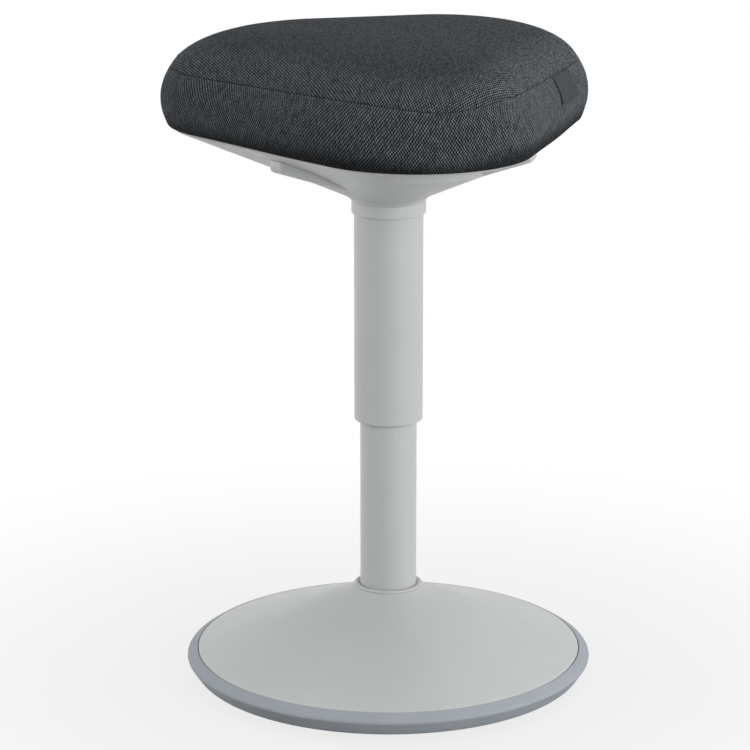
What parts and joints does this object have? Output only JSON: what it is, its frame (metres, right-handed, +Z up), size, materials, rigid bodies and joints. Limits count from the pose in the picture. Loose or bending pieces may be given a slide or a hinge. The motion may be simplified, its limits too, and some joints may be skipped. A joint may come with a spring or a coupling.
{
  "type": "wobble stool",
  "caption": "Sit-stand wobble stool: padded three-cornered seat on a gas lift, two release levers under it, and a weighted round base with a rounded rubber underside.",
  "frame": {"origin": "middle of the flat under the rubber sole, on the column's axis, where the stool stands", "axes": "+Z up along the column; the seat's front corner points along -Y and the levers lie to its left and right"},
  "size_m": [0.3976, 0.403, 0.6147],
  "materials": {
    "grey_rubber": "matt grey rubber rim",
    "dark_rubber": "matt dark rubber",
    "ballast_iron": "raw cast iron",
    "grey_paint": "satin light grey powder coat",
    "grey_plastic": "fine-grained light grey moulding",
    "steel": "zinc-plated steel",
    "black_steel": "black oxide steel",
    "nylon": "natural nylon",
    "alloy": "as-cast alloy",
    "plywood": "raw birch plywood",
    "seat_cloth": "charcoal two-tone woven cloth",
    "tag_cloth": "smooth woven tape"
  },
  "bodies": {
    "base": {"rocker_sole": "dark_rubber", "rubber_rim": "grey_rubber", "ballast_plate": "ballast_iron", "tube_flange": "black_steel", "flange_bolt_1": "steel", "flange_bolt_2": "steel", "flange_bolt_3": "steel", "flange_bolt_4": "steel", "base_cover": "grey_paint", "collar_ring": "grey_plastic", "column_tube": "grey_paint", "tube_floor": "black_steel", "guide_bush": "nylon", "thrust_washer_lower": "steel", "ball_cage": "steel"},
    "rod": {"piston_rod": "steel", "piston": "nylon", "rod_clip": "black_steel", "bump_stop": "dark_rubber", "thrust_washer_upper": "steel"},
    "seat": {"gas_cylinder": "black_steel", "cylinder_gland": "alloy", "sleeve": "grey_paint", "sleeve_collar": "grey_plastic", "lift_head": "alloy", "pin_left": "steel", "pin_right": "steel", "seat_shell": "grey_plastic", "seat_board": "plywood", "shell_screw_1": "steel", "shell_screw_2": "steel", "shell_screw_3": "steel", "board_screw_1": "steel", "board_screw_2": "steel", "board_screw_3": "steel", "cushion": "seat_cloth", "side_tag": "tag_cloth"},
    "left_lever": {"lever_left": "grey_plastic"},
    "right_lever": {"lever_right": "grey_plastic"},
    "valve": {"valve_spool": "nylon"}
  },
  "joints": [
    {"name": "swivel", "type": "hinge", "parent": "base", "child": "rod", "pos_m": [0, 0, 0.038], "axis": [0, 0, 1], "continuous": true},
    {"name": "height", "type": "slide", "parent": "rod", "child": "seat", "axis": [0, 0, 1], "range_m": [-0.15, 0]},
    {"name": "left_lever_lift", "type": "hinge", "parent": "seat", "child": "left_lever", "pos_m": [-0.03291, -0.019, 0.4823], "axis": [-0.5, 0.866, 0], "range_deg": [0, 3.5], "stiffness_Nm_per_rad": 4, "springref_deg": -2.86},
    {"name": "right_lever_lift", "type": "hinge", "parent": "seat", "child": "right_lever", "pos_m": [0.03291, -0.019, 0.4823], "axis": [-0.5, -0.866, 0], "range_deg": [0, 3.5]},
    {"name": "valve_press", "type": "slide", "parent": "seat", "child": "valve", "axis": [0, 0, 1], "range_m": [-0.0025, 0]}
  ],
  "couplings": [
    {"joint": "right_lever_lift", "follows": "left_lever_lift", "ratio": 1},
    {"joint": "valve_press", "follows": "left_lever_lift", "m_per_rad": -0.0315}
  ]
}
